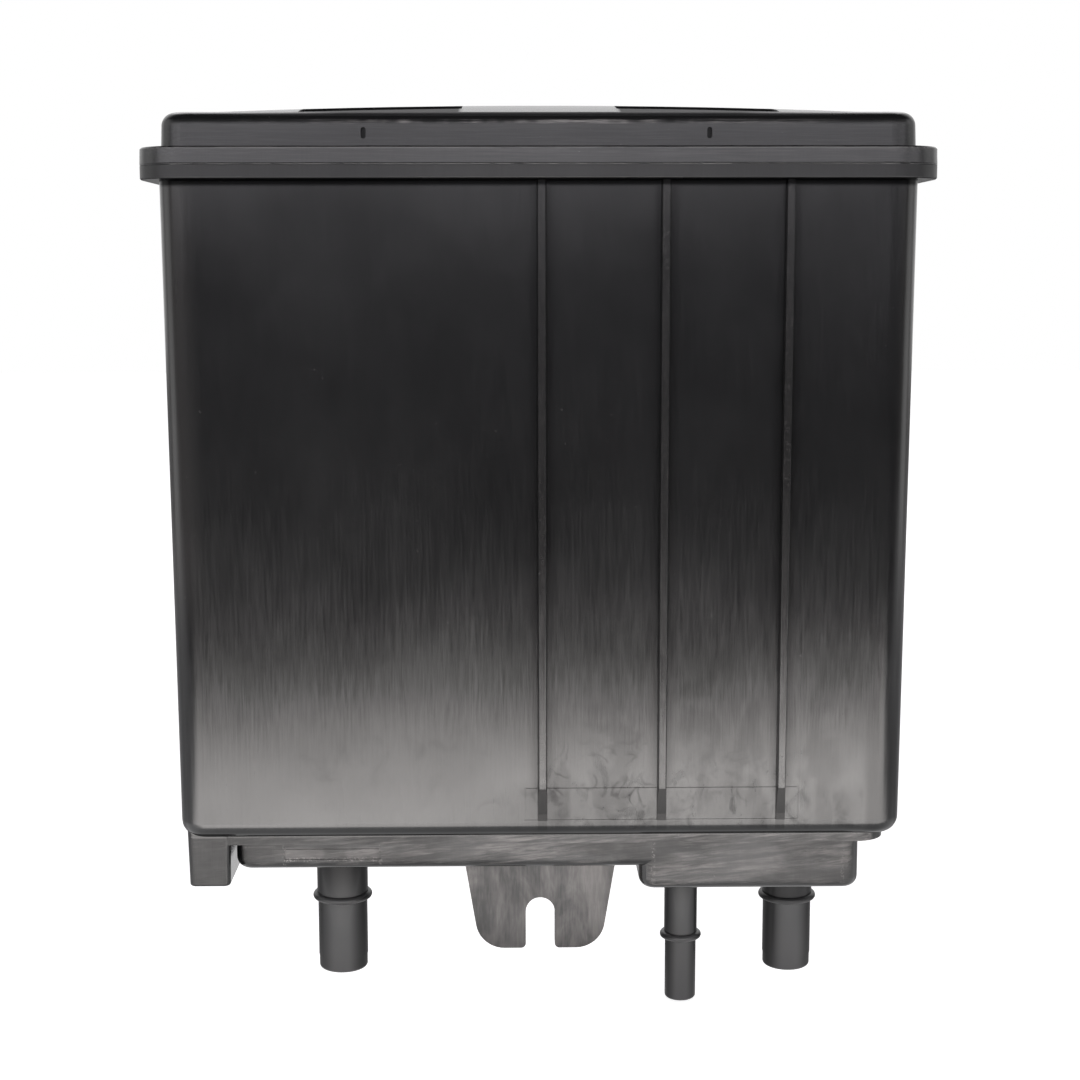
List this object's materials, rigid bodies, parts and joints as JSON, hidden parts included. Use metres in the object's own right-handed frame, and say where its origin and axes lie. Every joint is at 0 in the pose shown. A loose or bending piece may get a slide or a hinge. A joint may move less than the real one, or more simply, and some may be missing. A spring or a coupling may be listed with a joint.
{
  "type": "charcoal canister",
  "caption": "Black moulded fuel-vapour charcoal canister with a ribbed front, a welded end cover, hose ports, a slotted mounting tab and a corner post, and sprung carbon beds inside.",
  "frame": {"origin": "middle of the round end of the slot in the mounting tab, in the tab's middle plane", "axes": "+X to the right seen from the ribbed front, +Y from the ribbed front towards the back, +Z from the hose ports up to the end cover"},
  "size_m": [0.2296, 0.111, 0.2885],
  "materials": {
    "housing_plastic": "satin black moulded polyamide with scuffs",
    "cover_plastic": "satin black moulded polyamide",
    "grid_plastic": "matte dark grey moulding",
    "filter_foam": "open-cell foam",
    "carbon": "matte black carbon pellets",
    "spring_steel": "drawn spring wire"
  },
  "bodies": {
    "root": {"housing": "housing_plastic", "end_cover": "cover_plastic", "vent_support_grid": "grid_plastic", "purge_support_grid": "grid_plastic", "vent_port_filter": "filter_foam", "purge_port_filter": "filter_foam", "vent_carbon_bed": "carbon", "purge_carbon_bed": "carbon", "vent_cover_filter": "filter_foam", "purge_cover_filter": "filter_foam", "vent_pressure_plate": "grid_plastic", "purge_pressure_plate": "grid_plastic", "vent_spring_1": "spring_steel", "vent_spring_2": "spring_steel", "vent_spring_3": "spring_steel", "vent_spring_4": "spring_steel", "purge_spring_1": "spring_steel", "purge_spring_2": "spring_steel"}
  },
  "joints": []
}
